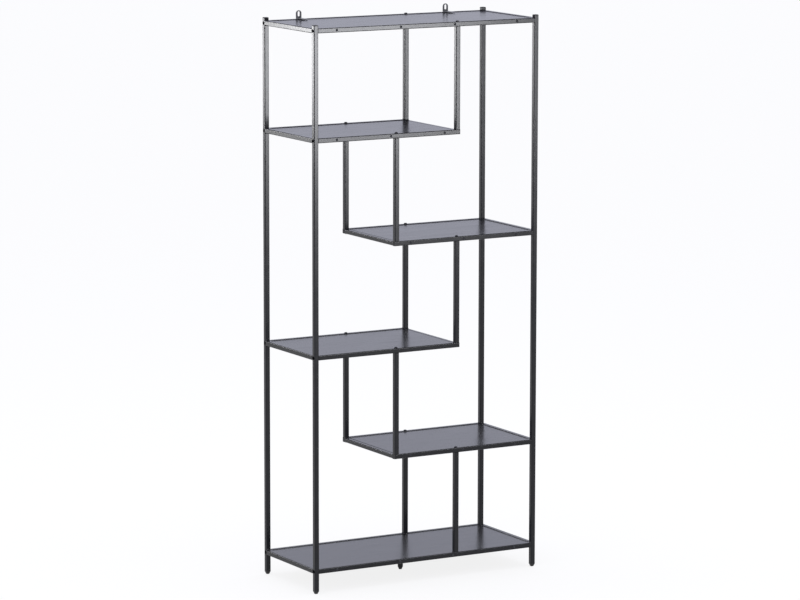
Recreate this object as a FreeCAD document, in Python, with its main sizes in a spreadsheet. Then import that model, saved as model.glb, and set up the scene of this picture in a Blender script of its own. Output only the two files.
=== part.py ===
"""Zigzag bookshelf: a bolted square-tube frame with six drop-in boards.

Frame: origin on the floor under the middle of the case, +Z up, +X to the right seen from the front,
front towards -Y. Shelf 1 is the top one, shelf 6 the bottom one. Shelves 2 and 4 hang on the left posts,
shelves 3 and 5 on the right posts, and pairs of short risers carry their free ends.
"""
import FreeCAD, Part
import math
import os
import re
import Sketcher

# Driving sizes in millimetres
SIZES = {
    "overall_width": 840,
    "overall_depth": 350,
    "short_shelf_length": 542,
    "shelf_pitch": 351.6,
    "floor_clearance": 66,
    "post_rise": 7,
    "tube_side": 16,
    "end_tube_side": 14,
    "tube_wall": 1.2,
    "tube_corner": 2.4,
    "board_thickness": 12,
    "board_gap": 1.5,
    "board_recess": 2,
    "board_edge": 0.8,
    "cap_height": 3,
    "cap_bevel": 1.2,
    "cap_shank": 9,
    "glide_height": 12,
    "glide_foot_side": 9,
    "glide_taper": 9,
    "glide_shank": 16,
    "end_plug_depth": 3.5,
    "nut_plug_depth": 12,
    "bolt_diameter": 6,
    "bolt_length": 25,
    "bolt_head_diameter": 11,
    "bolt_head_height": 3.4,
    "bolt_head_flat": 6,
    "bolt_head_rim": 0.9,
    "bolt_clearance": 0.6,
    "access_clearance": 1,
    "thread_clearance": 0.2,
    "lug_length": 25,
    "lug_reach": 17,
    "lug_thickness": 2,
    "lug_corner": 4,
    "lug_inset": 70,
    "screw_diameter": 3.5,
    "screw_length": 10,
    "screw_head_diameter": 7,
    "screw_head_height": 2.2,
    "screw_head_flat": 4,
    "screw_head_rim": 0.7,
    "screw_clearance": 0.5,
    "bracket_width": 20,
    "bracket_thickness": 2,
    "bracket_rise": 27,
    "bracket_reach": 50,
    "bracket_bend": 1.2,
    "bracket_toe_round": 5,
    "bracket_end_flat": 0.4,
    "bracket_left_inset": 134,
    "bracket_right_inset": 150,
    "slot_width": 8,
    "slot_length": 17,
    "slot_height": 15.5,
    "strip_width": 30,
    "leg_diameter": 18,
    "leg_floor_gap": 3,
    "leg_foot_diameter": 10,
    "leg_taper": 9,
    "stud_diameter": 8,
    "stud_length": 9,
}

# Shelves from the top down: index 0 is the top board, index 5 the bottom one
SHELF_COUNT = 6
LEFT_SHELVES = (1, 3)
RIGHT_SHELVES = (2, 4)

doc = FreeCAD.newDocument("ZigzagBookshelf")
sheet = doc.addObject("Spreadsheet::Sheet", "Params")
for row, (alias, number) in enumerate(SIZES.items(), 1):
    sheet.set(f"A{row}", alias)
    sheet.set(f"B{row}", str(number))
    sheet.setAlias(f"B{row}", alias)
doc.recompute()

# Distance within which an edge counts as lying on a line
TOUCH = 1e-4
QUARTER_TURN = math.pi / 2
ALIAS = re.compile(r"\b[a-z]+(?:_[a-z]+)*\b")
parts = []


def bound(text):
    """The formula with every size's name pointing at its cell."""
    return ALIAS.sub(lambda found: f"Params.{found.group()}", text)


def number_of(text):
    """The formula's value with the sheet's present numbers."""
    return float(sheet.evalExpression(bound(text)))


def keep(piece):
    """Mark a document object as a finished piece of the bookshelf."""
    parts.append(piece)
    return piece


def place(piece, x, y, z, rotation=None):
    """Stand a piece at a point given by three formulas, turned by a constant rotation."""
    if rotation is not None:
        piece.Placement = FreeCAD.Placement(FreeCAD.Vector(), rotation)
    for axis, text in (("x", x), ("y", y), ("z", z)):
        piece.setExpression(f"Placement.Base.{axis}", bound(text))
    return piece


# Turns that lay a tube's own length along an axis of the case
ALONG_X = FreeCAD.Rotation(FreeCAD.Vector(0, 1, 0), 90)
ALONG_MINUS_X = FreeCAD.Rotation(FreeCAD.Vector(0, 1, 0), -90)
ALONG_Y = FreeCAD.Rotation(FreeCAD.Vector(1, 0, 0), -90)
UPRIGHT = FreeCAD.Rotation()
UPSIDE_DOWN = FreeCAD.Rotation(FreeCAD.Vector(1, 0, 0), 180)


# Sketch helpers
def new_body(label):
    """An empty body whose label names the piece."""
    body = doc.addObject("PartDesign::Body", label)
    body.Label = label
    return body


def new_sketch(body, name, plane):
    """A sketch on one of the body's own origin planes."""
    sketch = body.newObject("Sketcher::SketchObject", f"{body.Label}_{name}")
    support = next(item for item in body.Origin.OriginFeatures if item.Role == plane)
    sketch.AttachmentSupport = [(support, "")]
    sketch.MapMode = "FlatFace"
    return sketch


def dimension(sketch, name, text, kind, *references):
    """Add a named dimension that follows a formula."""
    index = sketch.addConstraint(Sketcher.Constraint(kind, *references, number_of(text)))
    sketch.renameConstraint(index, name)
    sketch.setExpression(f"Constraints.{name}", bound(text))


def closed_lines(sketch, points):
    """Straight lines round a list of corner points, joined end to end; returns their indices."""
    corners = [FreeCAD.Vector(x, y, 0) for x, y in points]
    lines = [sketch.addGeometry(Part.LineSegment(start, end))
             for start, end in zip(corners, corners[1:] + corners[:1])]
    for line, following in zip(lines, lines[1:] + lines[:1]):
        sketch.addConstraint(Sketcher.Constraint("Coincident", line, 2, following, 1))
    return lines


def square_up(sketch, lines):
    """Make each of a profile's lines level or upright, whichever it is drawn as."""
    for line in lines:
        edge = sketch.Geometry[line]
        level = abs(edge.EndPoint.y - edge.StartPoint.y) < abs(edge.EndPoint.x - edge.StartPoint.x)
        sketch.addConstraint(Sketcher.Constraint("Horizontal" if level else "Vertical", line))


def rectangle(sketch, tag, width, depth):
    """A rectangle centred on the sketch's origin."""
    half_w = number_of(width) / 2
    half_d = number_of(depth) / 2
    lines = closed_lines(sketch, [(-half_w, -half_d), (half_w, -half_d), (half_w, half_d), (-half_w, half_d)])
    square_up(sketch, lines)
    sketch.addConstraint(Sketcher.Constraint("Symmetric", lines[0], 1, lines[2], 1, -1, 1))
    dimension(sketch, f"{tag}_width", width, "DistanceX", lines[0], 1, lines[0], 2)
    dimension(sketch, f"{tag}_depth", depth, "DistanceY", lines[1], 1, lines[1], 2)


def rounded_rectangle(sketch, tag, width, depth, radius):
    """A rectangle centred on the sketch's origin with four equal round corners."""
    half_w = number_of(width) / 2
    half_d = number_of(depth) / 2
    corner = number_of(radius)
    flat_w = half_w - corner
    flat_d = half_d - corner
    runs = [((-flat_w, -half_d), (flat_w, -half_d)), ((half_w, -flat_d), (half_w, flat_d)),
            ((flat_w, half_d), (-flat_w, half_d)), ((-half_w, flat_d), (-half_w, -flat_d))]
    centres = [(flat_w, -flat_d), (flat_w, flat_d), (-flat_w, flat_d), (-flat_w, -flat_d)]
    up = FreeCAD.Vector(0, 0, 1)
    lines = []
    arcs = []
    for quarter, ((start, end), centre) in enumerate(zip(runs, centres)):
        lines.append(sketch.addGeometry(Part.LineSegment(FreeCAD.Vector(*start, 0), FreeCAD.Vector(*end, 0))))
        circle = Part.Circle(FreeCAD.Vector(*centre, 0), up, corner)
        begin = (quarter - 1) * QUARTER_TURN
        arcs.append(sketch.addGeometry(Part.ArcOfCircle(circle, begin, begin + QUARTER_TURN)))
    for line, arc, following in zip(lines, arcs, lines[1:] + lines[:1]):
        sketch.addConstraint(Sketcher.Constraint("Tangent", line, 2, arc, 1))
        sketch.addConstraint(Sketcher.Constraint("Tangent", arc, 2, following, 1))
    square_up(sketch, lines)
    for arc in arcs[1:]:
        sketch.addConstraint(Sketcher.Constraint("Equal", arcs[0], arc))
    sketch.addConstraint(Sketcher.Constraint("Symmetric", arcs[0], 3, arcs[2], 3, -1, 1))
    dimension(sketch, f"{tag}_radius", radius, "Radius", arcs[0])
    dimension(sketch, f"{tag}_width", width, "DistanceX", lines[3], 1, lines[1], 1)
    dimension(sketch, f"{tag}_depth", depth, "DistanceY", lines[0], 1, lines[2], 1)


def upright_slot(sketch, tag, width, length, height):
    """A slot with half-round ends, upright on the sketch's vertical axis, its middle at a given height."""
    radius = number_of(width) / 2
    half_run = number_of(length) / 2 - radius
    middle = number_of(height)
    up = FreeCAD.Vector(0, 0, 1)
    upper = FreeCAD.Vector(0, middle + half_run, 0)
    lower = FreeCAD.Vector(0, middle - half_run, 0)
    across = FreeCAD.Vector(radius, 0, 0)
    right = sketch.addGeometry(Part.LineSegment(lower + across, upper + across))
    crown = sketch.addGeometry(Part.ArcOfCircle(Part.Circle(upper, up, radius), 0, 2 * QUARTER_TURN))
    left = sketch.addGeometry(Part.LineSegment(upper - across, lower - across))
    foot_circle = Part.Circle(lower, up, radius)
    foot = sketch.addGeometry(Part.ArcOfCircle(foot_circle, 2 * QUARTER_TURN, 4 * QUARTER_TURN))
    for piece, following in ((right, crown), (crown, left), (left, foot), (foot, right)):
        sketch.addConstraint(Sketcher.Constraint("Tangent", piece, 2, following, 1))
    sketch.addConstraint(Sketcher.Constraint("Vertical", right))
    sketch.addConstraint(Sketcher.Constraint("Equal", crown, foot))
    sketch.addConstraint(Sketcher.Constraint("PointOnObject", crown, 3, -2))
    dimension(sketch, f"{tag}_radius", f"{width} / 2", "Radius", crown)
    dimension(sketch, f"{tag}_run", f"{length} - {width}", "DistanceY", foot, 3, crown, 3)
    dimension(sketch, f"{tag}_height", f"{height} - ({length} - {width}) / 2", "DistanceY", -1, 1, foot, 3)


def hole_circle(sketch, tag, diameter, x=None, y=None):
    """A circle at a point given by formulas, on an axis or the origin where a formula is left out."""
    centre = FreeCAD.Vector(number_of(x) if x else 0, number_of(y) if y else 0, 0)
    circle = sketch.addGeometry(Part.Circle(centre, FreeCAD.Vector(0, 0, 1), number_of(diameter) / 2))
    dimension(sketch, f"{tag}_diameter", diameter, "Diameter", circle)
    if x:
        dimension(sketch, f"{tag}_x", x, "DistanceX", -1, 1, circle, 3)
    else:
        sketch.addConstraint(Sketcher.Constraint("PointOnObject", circle, 3, -2))
    if y:
        dimension(sketch, f"{tag}_y", y, "DistanceY", -1, 1, circle, 3)
    else:
        sketch.addConstraint(Sketcher.Constraint("PointOnObject", circle, 3, -1))


# Feature helpers
def pad(body, sketch, length, name="pad", reverse=False, midplane=False):
    """Raise a sketch by a formula's length."""
    feature = body.newObject("PartDesign::Pad", f"{body.Label}_{name}")
    feature.Profile = sketch
    feature.setExpression("Length", bound(length))
    feature.Reversed = reverse
    feature.Midplane = midplane
    return feature


def cut_through(body, sketch, name, midplane=True, reverse=False):
    """Cut a sketch right through the body, both ways or one way."""
    feature = body.newObject("PartDesign::Pocket", f"{body.Label}_{name}")
    feature.Profile = sketch
    feature.Type = "ThroughAll"
    feature.Midplane = midplane
    feature.Reversed = reverse
    return feature


def cut_depth(body, sketch, name, depth, reverse=False):
    """Cut a sketch into the body by a formula's depth."""
    feature = body.newObject("PartDesign::Pocket", f"{body.Label}_{name}")
    feature.Profile = sketch
    feature.setExpression("Length", bound(depth))
    feature.Reversed = reverse
    return feature


def round_edges(body, base, name, radius, wanted):
    """Round the edges of the base feature for which wanted(edge) is true."""
    doc.recompute()
    edges = [f"Edge{i}" for i, edge in enumerate(base.Shape.Edges, 1) if wanted(edge)]
    fillet = body.newObject("PartDesign::Fillet", f"{body.Label}_{name}")
    fillet.Base = (base, edges)
    fillet.setExpression("Radius", bound(radius))
    return fillet


def bevel_edges(body, base, name, size, wanted):
    """Bevel the edges of the base feature for which wanted(edge) is true."""
    doc.recompute()
    edges = [f"Edge{i}" for i, edge in enumerate(base.Shape.Edges, 1) if wanted(edge)]
    bevel = body.newObject("PartDesign::Chamfer", f"{body.Label}_{name}")
    bevel.Base = (base, edges)
    bevel.setExpression("Size", bound(size))
    return bevel


def lower_sketch(sketch, depth):
    """Move a sketch below its plane by a formula's depth."""
    sketch.setExpression("AttachmentOffset.Base.z", bound(f"-1 * ({depth})"))


def lies_at(edge, height):
    """Whether an edge lies level at one height."""
    return abs(edge.BoundBox.ZMin - height) < TOUCH and abs(edge.BoundBox.ZMax - height) < TOUCH


def group(label, master, places):
    """One node that holds a copy of the master at each (x, y, z, rotation)."""
    copies = []
    for count, (x, y, z, rotation) in enumerate(places, 1):
        copy = doc.addObject("App::Link", f"{label}_{count}")
        copy.LinkedObject = master
        copies.append(place(copy, x, y, z, rotation))
    node = doc.addObject("Part::Compound", label)
    node.Label = label
    node.Links = copies
    return keep(node)


# Levels and lines that several pieces share
def rail_bottom(shelf):
    """Formula for the underside of a shelf's rails."""
    return f"(floor_clearance + {SHELF_COUNT - 1 - shelf} * shelf_pitch)"


def rail_middle(shelf):
    """Formula for the mid height of a shelf's rails."""
    return f"({rail_bottom(shelf)} + tube_side / 2)"


def rail_top(shelf):
    """Formula for the top of a shelf's rails."""
    return f"({rail_bottom(shelf)} + tube_side)"


def board_bottom(shelf):
    """Formula for the underside of a shelf's board."""
    return f"({rail_top(shelf)} - board_recess - board_thickness)"


POST_X = "(overall_width / 2 - tube_side / 2)"
ROW_Y = "(overall_depth / 2 - tube_side / 2)"
CASE_INSIDE_X = "(overall_width / 2 - tube_side)"
CASE_INSIDE_Y = "(overall_depth / 2 - tube_side)"
RISER_X = "(short_shelf_length - overall_width / 2 - tube_side / 2)"
BORE = "(tube_side - 2 * tube_wall)"
BORE_CORNER = "(tube_corner - tube_wall)"
BOLT_HOLE = "bolt_diameter + bolt_clearance"
ACCESS_HOLE = "bolt_head_diameter + access_clearance"
PILOT_HOLE = "screw_diameter + thread_clearance"
SIDES = {"left": "-1", "right": "1"}
ROWS = {"front": "-1", "back": "1"}


def shelf_sides(shelf):
    """The sides of the case whose posts a shelf is fixed to."""
    if shelf in LEFT_SHELVES:
        return ("left",)
    if shelf in RIGHT_SHELVES:
        return ("right",)
    return ("left", "right")


def riser_side(bay):
    """Formula for the sign of a riser pair's place: right of the middle in bays 1, 3 and 5."""
    return "1" if bay % 2 == 0 else "-1"


def tube(label, side, length, *drillings):
    """A square tube standing on its own origin.

    Each drilling is a tag, a diameter, distances from the foot, and the walls it goes through:
    both, low_x or high_x.
    """
    body = new_body(label)
    profile = new_sketch(body, "profile", "XY_Plane")
    rounded_rectangle(profile, "outer", side, side, "tube_corner")
    rounded_rectangle(profile, "bore", f"{side} - 2 * tube_wall", f"{side} - 2 * tube_wall", BORE_CORNER)
    pad(body, profile, length)
    for tag, diameter, distances, walls in drillings:
        drill = new_sketch(body, tag, "YZ_Plane")
        for count, distance in enumerate(distances, 1):
            hole_circle(drill, f"{tag}_{count}", diameter, y=distance)
        cut_through(body, drill, f"{tag}_cut", midplane=walls == "both", reverse=walls == "high_x")
    return keep(body)


# Corner posts: each rail's bolt sits on the inner wall, reached through a wider hole in the outer wall
for side, x_sign in SIDES.items():
    levels = [shelf for shelf in range(SHELF_COUNT) if side in shelf_sides(shelf)]
    heights = [f"{rail_middle(shelf)} - glide_height" for shelf in levels]
    outer, inner = ("low_x", "high_x") if side == "left" else ("high_x", "low_x")
    for row, y_sign in ROWS.items():
        post = tube(f"post_{row}_{side}", "tube_side", f"{rail_top(0)} + post_rise - glide_height",
                    ("bolt_hole", BOLT_HOLE, heights, inner), ("access_hole", ACCESS_HOLE, heights, outer))
        place(post, f"{x_sign} * {POST_X}", f"{y_sign} * {ROW_Y}", "glide_height", UPRIGHT)
    for shelf in levels:
        rail = tube(f"side_rail_{side}_{shelf + 1}", "tube_side", f"2 * {CASE_INSIDE_Y}")
        place(rail, f"{x_sign} * {POST_X}", f"-1 * {CASE_INSIDE_Y}", rail_middle(shelf), ALONG_Y)

# Front and back rails, drilled for the bolts that go down into the risers below them
RISER_ALONG_LONG = f"{CASE_INSIDE_X} + {RISER_X}"
RISER_ALONG_SHORT = "overall_width - short_shelf_length - tube_side / 2"
for row, y_sign in ROWS.items():
    for shelf in (0, SHELF_COUNT - 1):
        drillings = []
        if shelf == 0:
            drillings.append(("bolt_hole", BOLT_HOLE, [RISER_ALONG_LONG], "both"))
        if shelf == 0 and row == "back":
            screws = ["bracket_left_inset - tube_side", "overall_width - bracket_right_inset - tube_side"]
            drillings.append(("pilot_hole", PILOT_HOLE, screws, "low_x"))
        rail = tube(f"{row}_rail_{shelf + 1}", "tube_side", f"2 * {CASE_INSIDE_X}", *drillings)
        place(rail, f"-1 * {CASE_INSIDE_X}", f"{y_sign} * {ROW_Y}", rail_middle(shelf), ALONG_X)
    for shelf in LEFT_SHELVES + RIGHT_SHELVES:
        side = shelf_sides(shelf)[0]
        turn = ALONG_X if side == "left" else ALONG_MINUS_X
        rail = tube(f"{row}_rail_{shelf + 1}", "tube_side", "short_shelf_length - tube_side",
                    ("bolt_hole", BOLT_HOLE, [RISER_ALONG_SHORT], "both"))
        place(rail, f"{SIDES[side]} * {CASE_INSIDE_X}", f"{y_sign} * {ROW_Y}", rail_middle(shelf), turn)

# End rails that close the free end of each short shelf, level with its board
for shelf in LEFT_SHELVES + RIGHT_SHELVES:
    inward = "-1" if shelf in LEFT_SHELVES else "1"
    rail = tube(f"end_rail_{shelf + 1}", "end_tube_side", f"2 * {CASE_INSIDE_Y}")
    place(rail, f"{inward} * (overall_width / 2 - short_shelf_length + end_tube_side / 2)",
          f"-1 * {CASE_INSIDE_Y}", f"{rail_top(shelf)} - board_recess - end_tube_side / 2", ALONG_Y)

# Risers: bay 1 is under the top shelf
for bay in range(SHELF_COUNT - 1):
    for row, y_sign in ROWS.items():
        riser = tube(f"riser_{bay + 1}_{row}", "tube_side", "shelf_pitch - tube_side")
        place(riser, f"{riser_side(bay)} * {RISER_X}", f"{y_sign} * {ROW_Y}", rail_top(bay + 1), UPRIGHT)


# Boards
def board_length(shelf):
    """Formula for a board's length between its end rails."""
    if len(shelf_sides(shelf)) == 2:
        return f"(2 * {CASE_INSIDE_X} - 2 * board_gap)"
    return "(short_shelf_length - tube_side - end_tube_side - 2 * board_gap)"


def board_middle_x(shelf):
    """Formula for the middle of a board along the case."""
    if len(shelf_sides(shelf)) == 2:
        return "0"
    sign = SIDES[shelf_sides(shelf)[0]]
    return f"{sign} * ({CASE_INSIDE_X} - board_gap - {board_length(shelf)} / 2)"


BOARD_DEPTH = f"(2 * {CASE_INSIDE_Y} - 2 * board_gap)"
LUG_SCREW_Y = f"({CASE_INSIDE_Y} - lug_reach / 2)"


def lug_places(shelf):
    """Formulas for the lugs' places along a board, measured from its middle."""
    reach = f"({board_length(shelf)} / 2 - lug_inset)"
    places = [f"-1 * {reach}", reach]
    return places + ["0"] if shelf == 0 else places


def board(shelf):
    """A board with eased edges and blind holes in its underside for the screws that hold it."""
    body = new_body(f"shelf_board_{shelf + 1}")
    outline = new_sketch(body, "outline", "XY_Plane")
    rectangle(outline, "board", board_length(shelf), BOARD_DEPTH)
    slab = pad(body, outline, "board_thickness")
    top = number_of("board_thickness")
    eased = round_edges(body, slab, "eased", "board_edge", lambda edge: lies_at(edge, top))
    body.Tip = eased
    pilots = new_sketch(body, "pilots", "XY_Plane")
    for along, x in enumerate(lug_places(shelf), 1):
        for row, y_sign in ROWS.items():
            hole_circle(pilots, f"pilot_{row}_{along}", PILOT_HOLE,
                        None if x == "0" else x, f"{y_sign} * {LUG_SCREW_Y}")
    cut_depth(body, pilots, "piloted", "screw_length - lug_thickness + thread_clearance", reverse=True)
    if shelf == SHELF_COUNT - 1:
        socket = new_sketch(body, "socket", "XY_Plane")
        hole_circle(socket, "socket", "stud_diameter + thread_clearance")
        cut_depth(body, socket, "socketed", "stud_length - lug_thickness + thread_clearance", reverse=True)
    return place(keep(body), board_middle_x(shelf), "0", board_bottom(shelf), UPRIGHT)


for shelf in range(SHELF_COUNT):
    board(shelf)


# Masters of the repeated small pieces
def turned_piece(label, head_diameter, head_flat, head_height, head_rim, diameter, length):
    """A bolt or screw turned about its axis: its head stands up from the seat, its shank hangs down."""
    body = new_body(label)
    half = new_sketch(body, "half", "XZ_Plane")
    head_r = number_of(head_diameter) / 2
    flat_r = number_of(head_flat) / 2
    tall = number_of(head_height)
    rim = number_of(head_rim)
    shank_r = number_of(diameter) / 2
    deep = number_of(length)
    lines = closed_lines(half, [(0, tall), (0, -deep), (shank_r, -deep), (shank_r, 0),
                                (head_r, 0), (head_r, rim), (flat_r, tall)])
    axis, tip, shank, seat, edge, slope, crown = lines
    square_up(half, [axis, tip, shank, seat, edge, crown])
    half.addConstraint(Sketcher.Constraint("PointOnObject", axis, 1, -2))
    half.addConstraint(Sketcher.Constraint("PointOnObject", seat, 1, -1))
    dimension(half, "shank_radius", f"{diameter} / 2", "DistanceX", tip, 1, tip, 2)
    dimension(half, "head_radius", f"{head_diameter} / 2", "DistanceX", -1, 1, edge, 1)
    dimension(half, "flat_radius", f"{head_flat} / 2", "DistanceX", axis, 1, crown, 1)
    dimension(half, "head_height", head_height, "DistanceY", -1, 1, axis, 1)
    dimension(half, "rim_height", head_rim, "DistanceY", edge, 1, edge, 2)
    dimension(half, "shank_length", length, "DistanceY", shank, 1, shank, 2)
    turned = body.newObject("PartDesign::Revolution", f"{label}_turned")
    turned.Profile = half
    turned.ReferenceAxis = (half, ["V_Axis"])
    turned.Angle = 360
    return body


def nut_plug():
    """A steel plug that fills a tube's end and takes a bolt, lying below its own origin plane."""
    body = new_body("nut_plug_master")
    outline = new_sketch(body, "outline", "XY_Plane")
    rounded_rectangle(outline, "plug", BORE, BORE, BORE_CORNER)
    hole_circle(outline, "thread", "bolt_diameter + thread_clearance")
    pad(body, outline, "nut_plug_depth", reverse=True)
    return body


def end_plug():
    """A plastic plug that lies flush in the open end of a short shelf's rail."""
    body = new_body("end_plug_master")
    outline = new_sketch(body, "outline", "XY_Plane")
    rounded_rectangle(outline, "plug", BORE, BORE, BORE_CORNER)
    pad(body, outline, "end_plug_depth", reverse=True)
    return body


def post_cap():
    """A moulded cap: a bevelled head on the tube's end and a shank inside it."""
    body = new_body("post_cap_master")
    outline = new_sketch(body, "outline", "XY_Plane")
    rounded_rectangle(outline, "head", "tube_side", "tube_side", "tube_corner")
    head = pad(body, outline, "cap_height", "head")
    top = number_of("cap_height")
    bevel_edges(body, head, "bevelled", "cap_bevel", lambda edge: lies_at(edge, top))
    stem = new_sketch(body, "stem", "XY_Plane")
    rounded_rectangle(stem, "stem", BORE, BORE, BORE_CORNER)
    pad(body, stem, "cap_shank", "shank", reverse=True)
    return body


def foot_glide():
    """A moulded glide: a collar under the tube, a foot that tapers below it, and a shank inside the tube."""
    body = new_body("foot_glide_master")
    outline = new_sketch(body, "outline", "XY_Plane")
    rounded_rectangle(outline, "collar", "tube_side", "tube_side", "tube_corner")
    pad(body, outline, "glide_height - glide_taper", "collar", reverse=True)
    shoulder = new_sketch(body, "shoulder", "XY_Plane")
    rounded_rectangle(shoulder, "shoulder", "tube_side", "tube_side", "tube_corner")
    lower_sketch(shoulder, "glide_height - glide_taper")
    sole = new_sketch(body, "sole", "XY_Plane")
    rounded_rectangle(sole, "sole", "glide_foot_side", "glide_foot_side", "tube_corner")
    lower_sketch(sole, "glide_height")
    taper = body.newObject("PartDesign::AdditiveLoft", "foot_glide_taper")
    taper.Profile = shoulder
    taper.Sections = [sole]
    taper.Ruled = True
    stem = new_sketch(body, "stem", "XY_Plane")
    rounded_rectangle(stem, "stem", BORE, BORE, BORE_CORNER)
    pad(body, stem, "glide_shank", "shank")
    return body


def board_lug():
    """A drilled steel lug, welded to a rail's inner face at y = 0 and reaching towards +Y."""
    body = new_body("board_lug_master")
    outline = new_sketch(body, "outline", "XY_Plane")
    half = number_of("lug_length") / 2
    reach = number_of("lug_reach")
    lines = closed_lines(outline, [(-half, 0), (half, 0), (half, reach), (-half, reach)])
    square_up(outline, lines)
    outline.addConstraint(Sketcher.Constraint("Symmetric", lines[0], 1, lines[0], 2, -1, 1))
    dimension(outline, "lug_length", "lug_length", "DistanceX", lines[0], 1, lines[0], 2)
    dimension(outline, "lug_reach", "lug_reach", "DistanceY", lines[1], 1, lines[1], 2)
    hole_circle(outline, "screw_hole", "screw_diameter + screw_clearance", y="lug_reach / 2")
    plate = pad(body, outline, "lug_thickness")
    round_edges(body, plate, "rounded", "lug_corner",
                lambda edge: edge.BoundBox.ZLength > TOUCH and abs(edge.BoundBox.YMin - reach) < TOUCH)
    return body


bolt_master = turned_piece("bolt_master", "bolt_head_diameter", "bolt_head_flat", "bolt_head_height",
                           "bolt_head_rim", "bolt_diameter", "bolt_length")
screw_master = turned_piece("screw_master", "screw_head_diameter", "screw_head_flat", "screw_head_height",
                            "screw_head_rim", "screw_diameter", "screw_length")
plug_master = nut_plug()
end_plug_master = end_plug()
cap_master = post_cap()
glide_master = foot_glide()
lug_master = board_lug()

# Caps and glides in the corner posts
corners = [(f"{x_sign} * {POST_X}", f"{y_sign} * {ROW_Y}")
           for x_sign in SIDES.values() for y_sign in ROWS.values()]
group("post_caps", cap_master, [(x, y, f"{rail_top(0)} + post_rise", UPRIGHT) for x, y in corners])
group("foot_glides", glide_master, [(x, y, "glide_height", UPRIGHT) for x, y in corners])

# Risers are welded on the rail below and held by a bolt down through the rail above, in a plug
riser_bolts = []
riser_plugs = []
for bay in range(SHELF_COUNT - 1):
    x = f"{riser_side(bay)} * {RISER_X}"
    for y_sign in ROWS.values():
        y = f"{y_sign} * {ROW_Y}"
        riser_bolts.append((x, y, rail_top(bay), UPRIGHT))
        riser_plugs.append((x, y, rail_bottom(bay), UPRIGHT))
group("riser_bolts", bolt_master, riser_bolts)
group("riser_nut_plugs", plug_master, riser_plugs)

# Rails are held by a bolt inside each corner post that goes into a plug in the rail's end
rail_bolts = []
rail_plugs = []
end_plugs = []
for shelf in range(SHELF_COUNT):
    for y_sign in ROWS.values():
        y = f"{y_sign} * {ROW_Y}"
        for side in shelf_sides(shelf):
            head_out = ALONG_MINUS_X if side == "left" else ALONG_X
            seat_x = f"{SIDES[side]} * ({CASE_INSIDE_X} + tube_wall)"
            rail_bolts.append((seat_x, y, rail_middle(shelf), head_out))
            rail_plugs.append((f"{SIDES[side]} * {CASE_INSIDE_X}", y, rail_middle(shelf), head_out))
        if len(shelf_sides(shelf)) == 1:
            inward = "-1" if side == "left" else "1"
            end_out = ALONG_X if side == "left" else ALONG_MINUS_X
            end_x = f"{inward} * (overall_width / 2 - short_shelf_length)"
            end_plugs.append((end_x, y, rail_middle(shelf), end_out))
group("rail_bolts", bolt_master, rail_bolts)
group("rail_nut_plugs", plug_master, rail_plugs)
group("rail_end_plugs", end_plug_master, end_plugs)

# Lugs welded inside the front and back rails carry the boards, with a screw up through each
lugs = []
screws = []
for shelf in range(SHELF_COUNT):
    lug_bottom = f"({board_bottom(shelf)} - lug_thickness)"
    for along in lug_places(shelf):
        x = f"{board_middle_x(shelf)} + {along}"
        lugs.append((x, f"-1 * {CASE_INSIDE_Y}", lug_bottom, UPRIGHT))
        lugs.append((x, CASE_INSIDE_Y, f"{lug_bottom} + lug_thickness", UPSIDE_DOWN))
        for y_sign in ROWS.values():
            screws.append((x, f"{y_sign} * {LUG_SCREW_Y}", lug_bottom, UPSIDE_DOWN))
group("board_lugs", lug_master, lugs)
group("board_screws", screw_master, screws)


# Wall brackets on the top back rail
def wall_bracket(label, x):
    """A bent strip: one leg lies on the back rail, the other stands up with a slot for the wall screw."""
    body = new_body(label)
    bend = new_sketch(body, "bend", "YZ_Plane")
    thick = number_of("bracket_thickness")
    rise = number_of("bracket_rise")
    reach = number_of("bracket_reach")
    lines = closed_lines(bend, [(0, 0), (0, rise), (-thick, rise), (-thick, thick),
                                (-reach, thick), (-reach, 0)])
    square_up(bend, lines)
    bend.addConstraint(Sketcher.Constraint("Coincident", lines[0], 1, -1, 1))
    dimension(bend, "rise", "bracket_rise", "DistanceY", lines[0], 1, lines[0], 2)
    dimension(bend, "reach", "bracket_reach", "DistanceX", lines[5], 1, lines[5], 2)
    dimension(bend, "leg_thickness", "bracket_thickness", "DistanceY", lines[4], 2, lines[4], 1)
    dimension(bend, "wall_thickness", "bracket_thickness", "DistanceX", lines[1], 2, lines[1], 1)
    strip = pad(body, bend, "bracket_width", midplane=True)
    top_round = round_edges(body, strip, "top_round", "bracket_width / 2 - bracket_end_flat",
                            lambda edge: lies_at(edge, rise) and edge.BoundBox.YLength > TOUCH)
    toe_round = round_edges(body, top_round, "toe_round", "bracket_toe_round",
                            lambda edge: edge.BoundBox.ZLength > TOUCH
                            and abs(edge.BoundBox.YMax + reach) < TOUCH)
    heel_round = round_edges(body, toe_round, "heel_round", "bracket_bend",
                             lambda edge: edge.BoundBox.XLength > thick and lies_at(edge, 0)
                             and abs(edge.BoundBox.YMin) < TOUCH)
    body.Tip = heel_round
    slot = new_sketch(body, "slot", "XZ_Plane")
    upright_slot(slot, "slot", "slot_width", "slot_length", "slot_height")
    cut_through(body, slot, "slotted")
    hole = new_sketch(body, "hole", "XY_Plane")
    hole_circle(hole, "screw_hole", "screw_diameter + screw_clearance", y="-1 * tube_side / 2")
    cut_through(body, hole, "drilled")
    return place(keep(body), x, "overall_depth / 2", rail_top(0), UPRIGHT)


BRACKET_LEFT_X = "bracket_left_inset - overall_width / 2"
BRACKET_RIGHT_X = "overall_width / 2 - bracket_right_inset"
wall_bracket("wall_bracket_left", BRACKET_LEFT_X)
wall_bracket("wall_bracket_right", BRACKET_RIGHT_X)
BRACKET_TOP = f"{rail_top(0)} + bracket_thickness"
group("bracket_screws", screw_master, [(BRACKET_LEFT_X, ROW_Y, BRACKET_TOP, UPRIGHT),
                                       (BRACKET_RIGHT_X, ROW_Y, BRACKET_TOP, UPRIGHT)])


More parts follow.
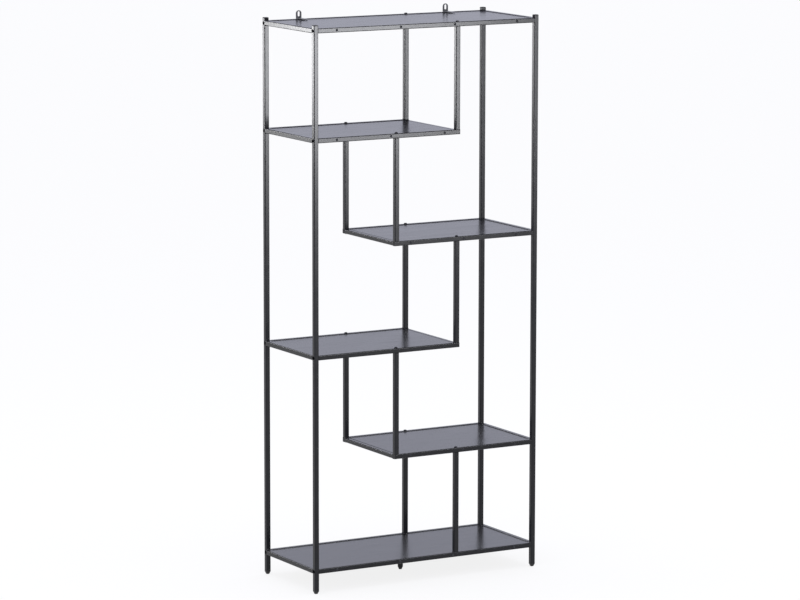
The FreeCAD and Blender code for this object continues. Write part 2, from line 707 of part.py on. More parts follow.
# Middle support of the bottom board
def centre_strip():
    """A flat strip welded between the bottom rails, under the middle of the board."""
    body = new_body("centre_strip")
    outline = new_sketch(body, "outline", "XY_Plane")
    rectangle(outline, "strip", "strip_width", f"2 * {CASE_INSIDE_Y}")
    hole_circle(outline, "stud_hole", "stud_diameter + bolt_clearance")
    pad(body, outline, "lug_thickness", reverse=True)
    return place(keep(body), "0", "0", board_bottom(SHELF_COUNT - 1), UPRIGHT)


def centre_leg():
    """A round leg under the strip: its stud screws up into the board, its foot tapers."""
    body = new_body("centre_leg")
    half = new_sketch(body, "half", "XZ_Plane")
    leg_length = f"({board_bottom(SHELF_COUNT - 1)} - lug_thickness - leg_floor_gap)"
    leg_r = number_of("leg_diameter") / 2
    foot_r = number_of("leg_foot_diameter") / 2
    stud_r = number_of("stud_diameter") / 2
    tall = number_of("stud_length")
    deep = number_of(leg_length)
    knee = number_of("leg_taper") - deep
    lines = closed_lines(half, [(0, tall), (0, -deep), (foot_r, -deep), (leg_r, knee), (leg_r, 0),
                                (stud_r, 0), (stud_r, tall)])
    axis, foot, taper, side, shoulder, stud, crown = lines
    square_up(half, [axis, foot, side, shoulder, stud, crown])
    half.addConstraint(Sketcher.Constraint("PointOnObject", axis, 1, -2))
    half.addConstraint(Sketcher.Constraint("PointOnObject", shoulder, 1, -1))
    dimension(half, "foot_radius", "leg_foot_diameter / 2", "DistanceX", foot, 1, foot, 2)
    dimension(half, "leg_radius", "leg_diameter / 2", "DistanceX", -1, 1, side, 1)
    dimension(half, "taper_height", "leg_taper", "DistanceY", taper, 1, taper, 2)
    dimension(half, "stud_radius", "stud_diameter / 2", "DistanceX", crown, 2, crown, 1)
    dimension(half, "leg_length", leg_length, "DistanceY", taper, 1, side, 2)
    dimension(half, "stud_length", "stud_length", "DistanceY", stud, 1, stud, 2)
    turned = body.newObject("PartDesign::Revolution", "centre_leg_turned")
    turned.Profile = half
    turned.ReferenceAxis = (half, ["V_Axis"])
    turned.Angle = 360
    leg_top = f"{board_bottom(SHELF_COUNT - 1)} - lug_thickness"
    return place(keep(body), "0", "0", leg_top, UPRIGHT)


centre_strip()
centre_leg()

doc.recompute()
for item in doc.Objects:
    if "Invalid" in item.State or "Error" in item.State:
        raise RuntimeError(f"{item.Label} did not build: {item.State}")
os.makedirs("parts", exist_ok=True)
for piece in parts:
    if piece.Shape.isNull() or not piece.Shape.isValid():
        raise RuntimeError(f"{piece.Label} has no valid shape")
for piece in parts:
    piece.Shape.exportStep(f"parts/{piece.Label}.step")
print(f"{len(parts)} nodes, {sum(len(piece.Shape.Solids) for piece in parts)} solids")
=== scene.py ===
"""Dresses the zigzag bookcase: coated square tube, satin boards, moulded fittings, fasteners and weld beads.

Sizes are in metres, in the frame of the CAD model.
"""

import logging
import math
from dataclasses import dataclass
from dataclasses import field
from enum import Enum

import bpy
import numpy as np
from mathutils import Matrix
from mathutils import Vector


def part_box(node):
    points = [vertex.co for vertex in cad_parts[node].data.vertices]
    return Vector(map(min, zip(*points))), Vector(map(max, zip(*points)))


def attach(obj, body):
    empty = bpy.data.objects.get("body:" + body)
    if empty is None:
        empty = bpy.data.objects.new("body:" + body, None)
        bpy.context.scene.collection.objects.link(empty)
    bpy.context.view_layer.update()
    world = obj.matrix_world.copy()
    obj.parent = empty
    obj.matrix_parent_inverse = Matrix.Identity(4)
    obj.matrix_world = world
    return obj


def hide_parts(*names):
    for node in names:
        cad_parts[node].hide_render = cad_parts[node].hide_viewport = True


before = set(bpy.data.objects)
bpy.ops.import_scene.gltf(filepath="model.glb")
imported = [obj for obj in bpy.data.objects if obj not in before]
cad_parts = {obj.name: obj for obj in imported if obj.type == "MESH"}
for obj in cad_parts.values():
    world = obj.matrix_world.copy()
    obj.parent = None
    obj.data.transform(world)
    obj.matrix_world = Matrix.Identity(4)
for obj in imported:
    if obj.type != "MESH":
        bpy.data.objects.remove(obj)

LOG = logging.getLogger("bookcase")
Triple = tuple[float, float, float]
SHELVES = range(1, 7)
BAYS = range(1, 6)
ROWS = ("front", "back")
SIDES = ("left", "right")
# Which way the outer faces of the two rows point along Y, and those of the two sides along X
OUTWARD = (-1.0, 1.0)
UP = (0.0, 0.0, 1.0)


class Slot(Enum):
    """The record's material slots."""

    FRAME = "frame_black"
    BOARD = "board_black"
    PLASTIC = "plastic_black"
    BOLT = "bolt_black"
    BRACKET = "bracket_black"


class Recess(Enum):
    """The shape of the tool recess in a fastener's head."""

    HEXAGON = "hexagon"
    CROSS = "cross"


@dataclass
class NodeSheet:
    """A material's node tree, with short ways to add and join nodes."""

    material: bpy.types.Material
    noise_detail: float = 2.0
    noise_low: float = 0.3
    noise_high: float = 0.7

    def add(self, kind: str, **inputs: object) -> bpy.types.Node:
        """Adds a node and sets its inputs by name.

        Args:
            kind: The node's type name.
            inputs: Input values, with underscores for spaces.

        Returns:
            The new node.
        """
        node = self.material.node_tree.nodes.new(kind)
        for name, value in inputs.items():
            node.inputs[name.replace("_", " ")].default_value = value
        return node

    def join(self, start: bpy.types.NodeSocket, end: bpy.types.NodeSocket) -> None:
        """Links an output to an input."""
        self.material.node_tree.links.new(start, end)

    def grain(self, stretch: Triple) -> bpy.types.NodeSocket:
        """Noise on Object coordinates.

        Args:
            stretch: Cycles per metre along X, Y and Z.

        Returns:
            The noise value, from 0 to 1.
        """
        place = self.add("ShaderNodeTexCoord")
        mapping = self.add("ShaderNodeMapping", Scale=stretch)
        noise = self.add("ShaderNodeTexNoise", Scale=1.0, Detail=self.noise_detail)
        self.join(place.outputs["Object"], mapping.inputs["Vector"])
        self.join(mapping.outputs["Vector"], noise.inputs["Vector"])
        return noise.outputs["Fac"]

    def spread(self, value: bpy.types.NodeSocket, low: float, high: float) -> bpy.types.NodeSocket:
        """Maps the middle of a noise, where most of its values lie, to a range.

        Args:
            value: The noise value.
            low: The result at the middle's low end.
            high: The result at the middle's high end.

        Returns:
            The mapped value.
        """
        node = self.add("ShaderNodeMapRange", From_Min=self.noise_low, From_Max=self.noise_high,
                        To_Min=low, To_Max=high)
        self.join(value, node.inputs["Value"])
        return node.outputs["Result"]

    def tint(self, value: bpy.types.NodeSocket, dark: Triple, light: Triple) -> bpy.types.NodeSocket:
        """Turns a noise into a colour between two tints.

        Args:
            value: The noise value.
            dark: The tint at low values.
            light: The tint at high values.

        Returns:
            The colour.
        """
        ramp = self.add("ShaderNodeValToRGB")
        low, high = ramp.color_ramp.elements
        low.position = self.noise_low
        high.position = self.noise_high
        low.color = (*dark, 1.0)
        high.color = (*light, 1.0)
        self.join(value, ramp.inputs["Fac"])
        return ramp.outputs["Color"]

    def bump(self, height: bpy.types.NodeSocket, depth: float, strength: float) -> bpy.types.NodeSocket:
        """A bump of a height field.

        Args:
            height: The height, from 0 to 1.
            depth: What a height of 1 stands for, in metres.
            strength: How much of the bump shows.

        Returns:
            The bumped normal.
        """
        node = self.add("ShaderNodeBump", Strength=strength, Distance=depth)
        self.join(height, node.inputs["Height"])
        return node.outputs["Normal"]


@dataclass(frozen=True)
class Finish:
    """A finish: two close tints, a range of roughness and a fine relief."""

    name: str
    dark: Triple
    light: Triple
    roughness: tuple[float, float]
    specular: float
    gloss_tint: Triple
    metallic: float
    tint_stretch: Triple
    relief_stretch: Triple
    relief_depth: float
    relief_strength: float

    def build(self) -> bpy.types.Material:
        """Makes the material.

        Returns:
            The material, with its colour, roughness and bump from noise on Object coordinates.
        """
        material = bpy.data.materials.new(self.name)
        material.use_nodes = True
        sheet = NodeSheet(material)
        shader = material.node_tree.nodes["Principled BSDF"]
        shader.inputs["Metallic"].default_value = self.metallic
        shader.inputs["Specular IOR Level"].default_value = self.specular
        shader.inputs["Specular Tint"].default_value = (*self.gloss_tint, 1.0)
        cloud = sheet.grain(self.tint_stretch)
        relief = sheet.grain(self.relief_stretch)
        sheet.join(sheet.tint(cloud, self.dark, self.light), shader.inputs["Base Color"])
        sheet.join(sheet.spread(cloud, *self.roughness), shader.inputs["Roughness"])
        sheet.join(sheet.bump(relief, self.relief_depth, self.relief_strength), shader.inputs["Normal"])
        return material


POWDER_COAT = Finish(
    name="powder_coat_black", dark=(0.007, 0.007, 0.008), light=(0.011, 0.011, 0.012),
    roughness=(0.20, 0.22), specular=0.25, gloss_tint=(0.95, 0.96, 1.0), metallic=0.0,
    tint_stretch=(40.0, 40.0, 40.0), relief_stretch=(700.0, 700.0, 700.0),
    relief_depth=0.00005, relief_strength=0.03)
BOARD_FACE = Finish(
    name="board_face_black", dark=(0.010, 0.010, 0.012), light=(0.016, 0.016, 0.018),
    roughness=(0.22, 0.27), specular=0.4, gloss_tint=(0.86, 0.88, 1.0), metallic=0.0,
    tint_stretch=(9.0, 160.0, 160.0), relief_stretch=(60.0, 1400.0, 1400.0),
    relief_depth=0.00003, relief_strength=0.08)
MOULDED = Finish(
    name="moulded_plastic_black", dark=(0.006, 0.006, 0.006), light=(0.010, 0.010, 0.010),
    roughness=(0.45, 0.55), specular=0.4, gloss_tint=(1.0, 1.0, 1.0), metallic=0.0,
    tint_stretch=(90.0, 90.0, 90.0), relief_stretch=(1600.0, 1600.0, 1600.0),
    relief_depth=0.00005, relief_strength=0.3)
BLACK_ZINC = Finish(
    name="black_zinc", dark=(0.020, 0.020, 0.022), light=(0.045, 0.045, 0.050),
    roughness=(0.30, 0.45), specular=0.5, gloss_tint=(1.0, 1.0, 1.0), metallic=0.6,
    tint_stretch=(180.0, 180.0, 180.0), relief_stretch=(2200.0, 2200.0, 2200.0),
    relief_depth=0.00003, relief_strength=0.2)
# Painted reflection: the black bracket's base colour is raised to mid grey so that its tabs show their sheen
# as colour rather than as light
BRACKET_PAINTED_SHEEN = Finish(
    name="bracket_painted_sheen_grey", dark=(0.11, 0.11, 0.11), light=(0.16, 0.16, 0.16),
    roughness=(0.36, 0.42), specular=0.4, gloss_tint=(0.95, 0.96, 1.0), metallic=0.0,
    tint_stretch=(60.0, 60.0, 60.0), relief_stretch=(900.0, 900.0, 900.0),
    relief_depth=0.00005, relief_strength=0.2)


@dataclass
class Finishes:
    """The materials by slot, made once."""

    made: dict[Slot, bpy.types.Material] = field(default_factory=dict)

    def build(self) -> None:
        """Makes each slot's material."""
        for slot, finish in ((Slot.FRAME, POWDER_COAT), (Slot.BOARD, BOARD_FACE), (Slot.PLASTIC, MOULDED),
                             (Slot.BOLT, BLACK_ZINC), (Slot.BRACKET, BRACKET_PAINTED_SHEEN)):
            self.made[slot] = finish.build()

    def dress(self, slot: Slot, *nodes: str) -> None:
        """Puts a slot's material on CAD nodes.

        Args:
            slot: The material's slot.
            nodes: The nodes' names.
        """
        for name in nodes:
            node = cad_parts[name]
            node.data.materials.clear()
            node.data.materials.append(self.made[slot])
            LOG.info("%s wears %s", name, slot.value)

    def add_piece(self, name: str, points: np.ndarray, faces: np.ndarray, slot: Slot,
                  *stands_for: str) -> None:
        """Makes a piece of the object from whole arrays, riding on the root body.

        Args:
            name: The piece's name.
            points: Vertices, one row each.
            faces: Quads, one row of four vertex numbers each.
            slot: The slot it takes its finish from.
            stands_for: CAD nodes that it replaces.
        """
        mesh = bpy.data.meshes.new(name)
        mesh.from_pydata(points.reshape(-1, 3).tolist(), [], faces.reshape(-1, 4).tolist())
        mesh.polygons.foreach_set("use_smooth", np.ones(len(mesh.polygons), bool))
        mesh.materials.append(self.made[slot])
        mesh.validate()
        piece = bpy.data.objects.new(name, mesh)
        bpy.context.scene.collection.objects.link(piece)
        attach(piece, "root")
        if stands_for:
            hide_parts(*stands_for)
        LOG.info("%s: %d faces", name, len(mesh.polygons))


def grid_faces(rows: int, columns: int, copies: int) -> np.ndarray:
    """Quads of grids whose columns close into rings.

    Args:
        rows: Rings in one grid.
        columns: Points in one ring.
        copies: How many grids follow each other.

    Returns:
        Vertex numbers, four to a quad: a point, the next in its ring, and the same two one ring on.
    """
    ring = np.arange(rows - 1)[:, None] * columns
    here = np.arange(columns)[None, :]
    after = (here + 1) % columns
    quads = np.stack([ring + here, ring + after, ring + columns + after, ring + columns + here], axis=-1)
    return (np.arange(copies)[:, None, None, None] * rows * columns + quads).reshape(-1, 4)


def turned_to(direction: np.ndarray) -> np.ndarray:
    """Rotations that turn +Z to each direction.

    Args:
        direction: Unit vectors along an axis of the frame, one row each.

    Returns:
        One 3 by 3 matrix each, with the direction as its third column.
    """
    side = np.roll(direction, 1, axis=1)
    return np.stack([side, np.cross(direction, side), direction], axis=-1)


def meets_post(side: str, shelf: int) -> bool:
    """Whether a shelf reaches the posts on a side, where it then has a side rail."""
    return f"side_rail_{side}_{shelf}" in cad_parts


@dataclass(frozen=True)
class Fastener:
    """A bolt or screw with a tool recess in its head, turned about +Z with its seat at z = 0."""

    recess: Recess
    head_radius: float
    head_height: float
    rim_height: float
    shank_radius: float
    shank_length: float
    recess_radius: float
    recess_depth: float
    recess_draft: float = 0.96
    cross_core: float = 0.3
    cross_power: int = 4
    tip_share: float = 0.7
    chamfer_share: float = 0.3
    dome_rings: int = 6
    sides: int = 36

    def recess_outline(self, angle: np.ndarray) -> np.ndarray:
        """The recess's radius at each angle.

        Args:
            angle: Angles about the axis.

        Returns:
            For a hexagon, its flat's distance over the cosine of the angle from that flat's middle; for a
            cross, a core's radius that swells to the full radius four times a turn.
        """
        if self.recess is Recess.HEXAGON:
            sixth = math.pi / 3
            from_flat = np.mod(angle, sixth) - sixth / 2
            return self.recess_radius * math.cos(sixth / 2) / np.cos(from_flat)
        arms = np.abs(np.cos(2 * angle)) ** self.cross_power
        return self.recess_radius * (self.cross_core + (1 - self.cross_core) * arms)

    def rings(self) -> np.ndarray:
        """The surface as rings of points, from the shank's tip round the head into the recess.

        Returns:
            Points by ring and angle. The dome is a quarter ellipse from the rim up to the recess's mouth:
            its height follows a sine, and its radius runs from the head's to the recess's.
        """
        angle = np.arange(self.sides) * 2 * math.pi / self.sides
        mouth = self.recess_outline(angle)
        quarter = np.linspace(0.0, math.pi / 2, self.dome_rings + 1)[1:, None]
        crown = self.rim_height + (self.head_height - self.rim_height) * np.sin(quarter)
        dome = self.head_radius + (mouth[None, :] - self.head_radius) * (1 - np.cos(quarter))
        axis = np.zeros(self.sides)
        shank = np.full(self.sides, self.shank_radius)
        rim = np.full(self.sides, self.head_radius)
        radius = np.vstack([axis, self.tip_share * shank, shank, shank, rim, rim, dome,
                            self.recess_draft * mouth, axis])
        tip = -self.shank_length
        chamfer = tip + self.chamfer_share * self.shank_radius
        floor = self.head_height - self.recess_depth
        below_dome = [tip, tip, chamfer, 0.0, 0.0, self.rim_height]
        height = np.concatenate([below_dome, crown[:, 0], [floor, floor]])
        flat = np.stack([radius * np.cos(angle), radius * np.sin(angle)], axis=-1)
        return np.concatenate([flat, np.broadcast_to(height[:, None, None], (*radius.shape, 1))], axis=-1)

    def many(self, seats: np.ndarray, directions: np.ndarray) -> tuple[np.ndarray, np.ndarray]:
        """Copies of the fastener on their seats.

        Args:
            seats: Where each head sits.
            directions: Which way each head points.

        Returns:
            All points, and all quads.
        """
        rings = self.rings()
        points = np.einsum("nij,rcj->nrci", turned_to(directions), rings) + seats[:, None, None, :]
        return points, grid_faces(len(rings), self.sides, len(seats))


@dataclass
class Fasteners:
    """The bolts that hold the rails and risers, and the screws of the brackets and in the rails' faces."""

    bolt: Fastener = Fastener(
        recess=Recess.HEXAGON, head_radius=0.0055, head_height=0.0034, rim_height=0.0009,
        shank_radius=0.003, shank_length=0.025, recess_radius=0.0023, recess_depth=0.0020)
    bracket_screw: Fastener = Fastener(
        recess=Recess.CROSS, head_radius=0.0035, head_height=0.0022, rim_height=0.0006,
        shank_radius=0.00175, shank_length=0.010, recess_radius=0.0021, recess_depth=0.0013)
    face_screw: Fastener = Fastener(
        recess=Recess.CROSS, head_radius=0.0042, head_height=0.0005, rim_height=0.0002,
        shank_radius=0.002, shank_length=0.012, recess_radius=0.0024, recess_depth=0.0003)
    tube_wall: float = 0.0012
    bracket_thickness: float = 0.002
    face_post_inset: float = 0.067
    face_free_inset: float = 0.059
    face_inner_share: float = 0.125

    def over_risers(self) -> tuple[np.ndarray, np.ndarray]:
        """Where a bolt goes down through the rail over each riser.

        Returns:
            The heads' seats, and which way they point.
        """
        feet, tops = zip(*(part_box(f"riser_{bay}_{row}") for bay in BAYS for row in ROWS))
        middle = (np.array(feet) + np.array(tops)) / 2
        rail_low, rail_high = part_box("front_rail_1")
        seats = np.column_stack([middle[:, :2], np.array(tops)[:, 2] + rail_high.z - rail_low.z])
        return seats, np.tile(UP, (len(seats), 1))

    def in_posts(self) -> tuple[np.ndarray, np.ndarray]:
        """Where a bolt sits on the inner wall of a corner post, for the end of each rail that reaches it.

        Returns:
            The heads' seats, and which way they point.
        """
        seats = []
        ways = []
        for side, way in zip(SIDES, OUTWARD):
            post_low, post_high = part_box(f"post_front_{side}")
            face = post_high.x - self.tube_wall if side == "left" else post_low.x + self.tube_wall
            for shelf in SHELVES:
                if not meets_post(side, shelf):
                    continue
                for row in ROWS:
                    low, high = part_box(f"{row}_rail_{shelf}")
                    seats.append((face, (low.y + high.y) / 2, (low.z + high.z) / 2))
                    ways.append((way, 0.0, 0.0))
        return np.array(seats), np.array(ways)

    def on_brackets(self) -> tuple[np.ndarray, np.ndarray]:
        """Where a screw goes down through the foot of each wall bracket into the top back rail.

        Returns:
            The heads' seats, and which way they point.
        """
        rail_low, rail_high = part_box("back_rail_1")
        lows, highs = zip(*(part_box(f"wall_bracket_{side}") for side in SIDES))
        across = (np.array(lows)[:, 0] + np.array(highs)[:, 0]) / 2
        depth = np.full(len(across), (rail_low.y + rail_high.y) / 2)
        top = np.full(len(across), rail_high.z + self.bracket_thickness)
        return np.column_stack([across, depth, top]), np.tile(UP, (len(across), 1))

    def face_places(self, shelf: int) -> list[float]:
        """Where the screws stand along a shelf's front and back rails.

        Args:
            shelf: The shelf's number.

        Returns:
            Places along X. A full rail has a screw near each post and two at a share of its length from its
            middle; a short rail has one near its post, one near its free end and one halfway between them.
        """
        low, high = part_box(f"front_rail_{shelf}")
        at_left, at_right = (meets_post(side, shelf) for side in SIDES)
        first = low.x + (self.face_post_inset if at_left else self.face_free_inset)
        last = high.x - (self.face_post_inset if at_right else self.face_free_inset)
        middle = (first + last) / 2
        if at_left and at_right:
            step = (high.x - low.x) * self.face_inner_share
            return [first, middle - step, middle + step, last]
        return [first, middle, last]

    def in_rail_faces(self) -> tuple[np.ndarray, np.ndarray]:
        """Where the low screws sit in the outer faces of the front and back rails.

        Returns:
            The heads' seats, and which way they point.
        """
        seats = []
        ways = []
        for shelf in SHELVES:
            places = self.face_places(shelf)
            for row, way in zip(ROWS, OUTWARD):
                low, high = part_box(f"{row}_rail_{shelf}")
                face = low.y if row == "front" else high.y
                seats.extend((x, face, (low.z + high.z) / 2) for x in places)
                ways.extend([(0.0, way, 0.0)] * len(places))
        return np.array(seats), np.array(ways)

    def build(self, finishes: Finishes) -> None:
        """Makes each set of fasteners, and dresses the screws under the boards.

        Args:
            finishes: The materials.
        """
        sets = (
            ("riser_bolt_set", self.bolt, self.over_risers(), ["riser_bolts"]),
            ("rail_bolt_set", self.bolt, self.in_posts(), ["rail_bolts"]),
            ("bracket_screw_set", self.bracket_screw, self.on_brackets(), ["bracket_screws"]),
            ("face_screw_set", self.face_screw, self.in_rail_faces(), []),
        )
        for name, fastener, (seats, directions), replaced in sets:
            points, faces = fastener.many(seats, directions)
            finishes.add_piece(name, points, faces, Slot.BOLT, *replaced)
        finishes.dress(Slot.BOLT, "board_screws")


@dataclass
class TubeFrame:
    """The welded and bolted square tubes, with their weld beads."""

    tube_prefixes: tuple[str, ...] = (
        "post_", "side_rail_", "front_rail_", "back_rail_", "end_rail_", "riser_")
    not_tubes: tuple[str, ...] = ("post_caps", "riser_bolts", "riser_nut_plugs")
    welded_prefixes: tuple[str, ...] = ("side_rail_", "end_rail_")
    bead_radius: float = 0.0015
    bead_pitch: float = 0.0022
    bead_share: float = 0.86
    bead_ripple: float = 0.16
    bead_taper_power: int = 6
    stations: int = 22
    sides: int = 10

    def nodes(self) -> list[str]:
        """The names of all tubes, in order."""
        named = [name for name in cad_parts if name.startswith(self.tube_prefixes)]
        return sorted(name for name in named if name not in self.not_tubes)

    def seams(self) -> np.ndarray:
        """Where the weld beads run.

        Returns:
            One row each: the bead's middle, then its half run as a vector. A side rail or end rail has a
            bead over and under each end, a riser has one beside its foot, or on both sides of it on the
            bottom shelf, and the centre strip has one under each end.
        """
        rows = []
        for name in sorted(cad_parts):
            if not name.startswith(self.welded_prefixes):
                continue
            low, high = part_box(name)
            across = (low.x + high.x) / 2
            half = (high.x - low.x) * self.bead_share / 2
            rows.extend((across, y, z, half, 0.0, 0.0) for y in (low.y, high.y) for z in (low.z, high.z))
        for bay in BAYS:
            for row in ROWS:
                low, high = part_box(f"riser_{bay}_{row}")
                beside = (low.x, high.x) if bay == BAYS[-1] else (min(low.x, high.x, key=abs),)
                half = (high.y - low.y) * self.bead_share / 2
                rows.extend((x, (low.y + high.y) / 2, low.z, 0.0, half, 0.0) for x in beside)
        low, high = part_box("centre_strip")
        half = (high.x - low.x) * self.bead_share / 2
        rows.extend(((low.x + high.x) / 2, y, low.z, half, 0.0, 0.0) for y in (low.y, high.y))
        return np.array(rows)

    def beads(self) -> tuple[np.ndarray, np.ndarray]:
        """The weld beads.

        Returns:
            All points, and all quads. A bead is a circle carried along its seam. Its radius falls to nothing
            at both ends as a root, and swells with each ripple.
        """
        seams = self.seams()
        middle, half_run = seams[:, :3], seams[:, 3:]
        half_length = np.linalg.norm(half_run, axis=1, keepdims=True)
        along = np.linspace(-1.0, 1.0, self.stations)
        taper = np.sqrt(np.clip(1 - np.abs(along) ** self.bead_taper_power, 0.0, 1.0))
        swell = 1 + self.bead_ripple * np.cos(2 * math.pi * half_length * along / self.bead_pitch)
        angle = np.arange(self.sides) * 2 * math.pi / self.sides
        up = np.tile(UP, (len(seams), 1))
        side = np.cross(up, half_run / half_length)
        ring = side[:, None, :] * np.cos(angle)[:, None] + up[:, None, :] * np.sin(angle)[:, None]
        line = middle[:, None, :] + half_run[:, None, :] * along[:, None]
        radius = self.bead_radius * taper * swell
        points = line[:, :, None, :] + radius[:, :, None, None] * ring[:, None, :, :]
        return points, grid_faces(self.stations, self.sides, len(seams))

    def build(self, finishes: Finishes) -> None:
        """Dresses the tubes, their lugs, strip, leg and plugs, and lays the beads.

        Args:
            finishes: The materials.
        """
        finishes.dress(Slot.FRAME, *self.nodes(), "board_lugs", "centre_strip", "centre_leg")
        finishes.dress(Slot.BOLT, "riser_nut_plugs", "rail_nut_plugs")
        points, faces = self.beads()
        finishes.add_piece("frame_welds", points, faces, Slot.FRAME)


@dataclass
class Boards:
    """The six shelf boards."""

    def build(self, finishes: Finishes) -> None:
        """Dresses the boards."""
        finishes.dress(Slot.BOARD, *(f"shelf_board_{shelf}" for shelf in SHELVES))


@dataclass
class Fittings:
    """Moulded caps, glides and plugs, and the wall brackets."""

    caps: str = "post_caps"
    feet: str = "foot_glides"
    plugs: str = "rail_end_plugs"
    brackets: tuple[str, ...] = ("wall_bracket_left", "wall_bracket_right")

    def build(self, finishes: Finishes) -> None:
        """Dresses the fittings."""
        finishes.dress(Slot.PLASTIC, self.caps, self.feet, self.plugs)
        # The brackets take the grey finish, whose colour is a painted sheen on a black bracket
        finishes.dress(Slot.BRACKET, *self.brackets)


@dataclass(frozen=True)
class SoftBox:
    """A wide lamp over or beside the object."""

    name: str
    place: Triple
    target: Triple
    size: tuple[float, float]
    radiance: float

    def build(self) -> bpy.types.Object:
        """Makes the lamp; its power is radiance times area times pi.

        Returns:
            The lamp, unseen by the camera.
        """
        lamp = bpy.data.lights.new(self.name, "AREA")
        lamp.shape = "RECTANGLE"
        lamp.size, lamp.size_y = self.size
        lamp.energy = self.radiance * self.size[0] * self.size[1] * math.pi
        panel = bpy.data.objects.new(self.name, lamp)
        panel.location = self.place
        panel.rotation_mode = "QUATERNION"
        panel.rotation_quaternion = (Vector(self.target) - Vector(self.place)).to_track_quat("-Z", "Y")
        panel.visible_camera = False
        bpy.context.scene.collection.objects.link(panel)
        return panel

    def build_mirrored(self, mirrors: bpy.types.Collection) -> None:
        """Makes the lamp so that it shows only as a reflection, and only on some nodes.

        Args:
            mirrors: The nodes that mirror it.
        """
        panel = self.build()
        panel.visible_diffuse = False
        panel.light_linking.receiver_collection = mirrors


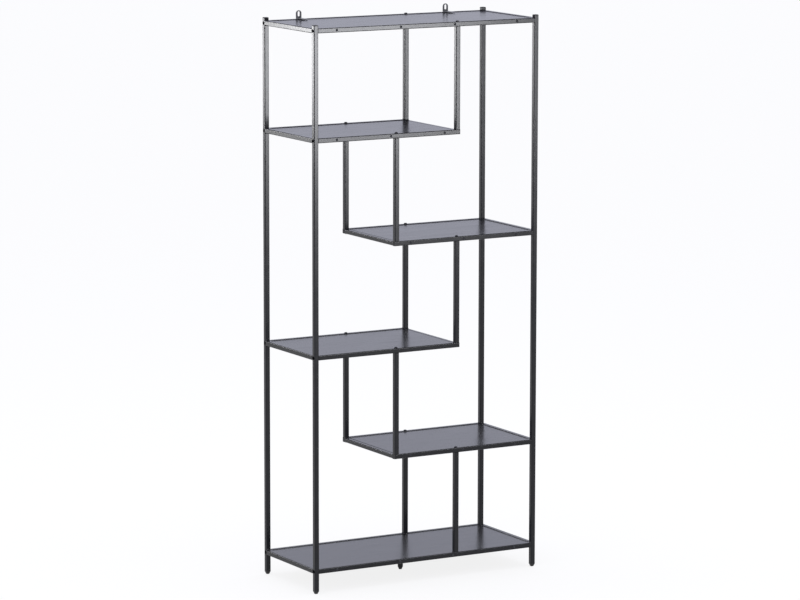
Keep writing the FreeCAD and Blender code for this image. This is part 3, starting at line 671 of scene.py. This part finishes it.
@dataclass
class Studio:
    """The white room: floor, world, panels and the photograph's camera, with its angles in degrees."""

    camera_place: Triple = (-6.4801, -11.2518, 2.9742)
    camera_yaw: float = 29.928
    camera_pitch: float = -9.028
    camera_roll: float = 0.087
    camera_reach: float = 200.0
    focal_pixels: float = 3984.18
    image_width: float = 800.0
    sensor_width: float = 36.0
    floor_half: float = 30.0
    floor_colour: Triple = (1.0, 1.0, 1.0)
    floor_roughness: float = 0.9
    floor_white: float = 0.85
    room_colour: Triple = (0.80, 0.815, 0.95)
    overhead: SoftBox = SoftBox(
        name="overhead_panel", place=(0.0, 0.0, 5.0), target=(0.0, 0.0, 0.0), size=(4.0, 4.0), radiance=1.6)
    side_panels: tuple[SoftBox, ...] = (
        SoftBox(name="front_panel", place=(2.45, -5.7, 1.22), target=(-0.1, 0.0, 1.5), size=(1.9, 0.9),
                radiance=30.0),
        SoftBox(name="left_panel", place=(-4.12, 5.5, 1.28), target=(-0.4, 0.0, 1.5), size=(1.3, 0.8),
                radiance=25.0),
    )

    def seen_directly(self, tree: bpy.types.NodeTree) -> bpy.types.NodeSocket:
        """Whether a ray shows the background: straight to the camera, in a reflection or through glass.

        Args:
            tree: The node tree to add to.

        Returns:
            A value of 1 for such a ray, and 0 for light that only fills the room.
        """
        path = tree.nodes.new("ShaderNodeLightPath")
        shown = path.outputs["Is Camera Ray"]
        for other in ("Is Glossy Ray", "Is Transmission Ray"):
            either = tree.nodes.new("ShaderNodeMath")
            either.operation = "MAXIMUM"
            tree.links.new(shown, either.inputs[0])
            tree.links.new(path.outputs[other], either.inputs[1])
            shown = either.outputs["Value"]
        return shown

    def floor(self) -> None:
        """Lays a wide white floor, flat at z = 0, that keeps a light shadow."""
        half = self.floor_half
        corners = np.array([(-half, -half, 0.0), (half, -half, 0.0), (half, half, 0.0), (-half, half, 0.0)])
        mesh = bpy.data.meshes.new("studio_floor")
        mesh.from_pydata(corners.tolist(), [], [(0, 1, 2, 3)])
        material = bpy.data.materials.new("studio_floor")
        material.use_nodes = True
        tree = material.node_tree
        paper = tree.nodes["Principled BSDF"]
        paper.inputs["Base Color"].default_value = (*self.floor_colour, 1.0)
        paper.inputs["Roughness"].default_value = self.floor_roughness
        paper.inputs["Specular IOR Level"].default_value = 0.0
        white = tree.nodes.new("ShaderNodeEmission")
        share = tree.nodes.new("ShaderNodeMath")
        share.operation = "MULTIPLY"
        share.inputs[1].default_value = self.floor_white
        blend = tree.nodes.new("ShaderNodeMixShader")
        tree.links.new(self.seen_directly(tree), share.inputs[0])
        tree.links.new(share.outputs["Value"], blend.inputs["Fac"])
        tree.links.new(paper.outputs["BSDF"], blend.inputs[1])
        tree.links.new(white.outputs["Emission"], blend.inputs[2])
        tree.links.new(blend.outputs["Shader"], tree.nodes["Material Output"].inputs["Surface"])
        mesh.materials.append(material)
        floor = bpy.data.objects.new("studio_floor", mesh)
        bpy.context.scene.collection.objects.link(floor)

    def world(self) -> None:
        """Fills the room with even, cool white light."""
        world = bpy.data.worlds.new("studio_world")
        world.use_nodes = True
        sky = world.node_tree.nodes["Background"]
        sky.inputs["Color"].default_value = (*self.room_colour, 1.0)
        sky.inputs["Strength"].default_value = 1.0
        bpy.context.scene.world = world

    def camera(self) -> None:
        """Sets the camera: yaw turns it from +Y towards +X, pitch lifts it and roll turns the picture."""
        turns = (self.camera_yaw, self.camera_pitch, self.camera_roll)
        yaw, pitch, roll = (math.radians(turn) for turn in turns)
        forward = Vector((math.sin(yaw) * math.cos(pitch), math.cos(yaw) * math.cos(pitch), math.sin(pitch)))
        level = Vector((math.cos(yaw), -math.sin(yaw), 0.0))
        lift = level.cross(forward)
        right = level * math.cos(roll) + lift * math.sin(roll)
        upward = right.cross(forward)
        pose = Matrix((right, upward, -forward)).transposed().to_4x4()
        lens = bpy.data.cameras.new("photo_camera")
        lens.sensor_fit = "HORIZONTAL"
        lens.sensor_width = self.sensor_width
        lens.lens = self.focal_pixels * self.sensor_width / self.image_width
        lens.clip_end = self.camera_reach
        camera = bpy.data.objects.new("photo_camera", lens)
        camera.matrix_world = Matrix.Translation(self.camera_place) @ pose
        bpy.context.scene.collection.objects.link(camera)
        bpy.context.scene.camera = camera

    def build(self, mirrored: list[str]) -> None:
        """Makes the room.

        Args:
            mirrored: The nodes whose gloss the side panels show on.
        """
        self.floor()
        self.world()
        self.overhead.build()
        mirrors = bpy.data.collections.new("panel_mirrors")
        for name in mirrored:
            mirrors.objects.link(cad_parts[name])
        for panel in self.side_panels:
            panel.build_mirrored(mirrors)
        self.camera()
        bpy.context.scene.view_settings.view_transform = "Standard"


def main() -> None:
    """Builds the object's finishes and pieces and then the room."""
    logging.basicConfig(level=logging.INFO, format="%(message)s")
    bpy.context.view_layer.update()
    finishes = Finishes()
    finishes.build()
    tube_frame = TubeFrame()
    fittings = Fittings()
    for part in (tube_frame, Boards(), fittings, Fasteners()):
        part.build(finishes)
    Studio().build([*tube_frame.nodes(), fittings.caps])


if __name__ == "__main__":
    main()
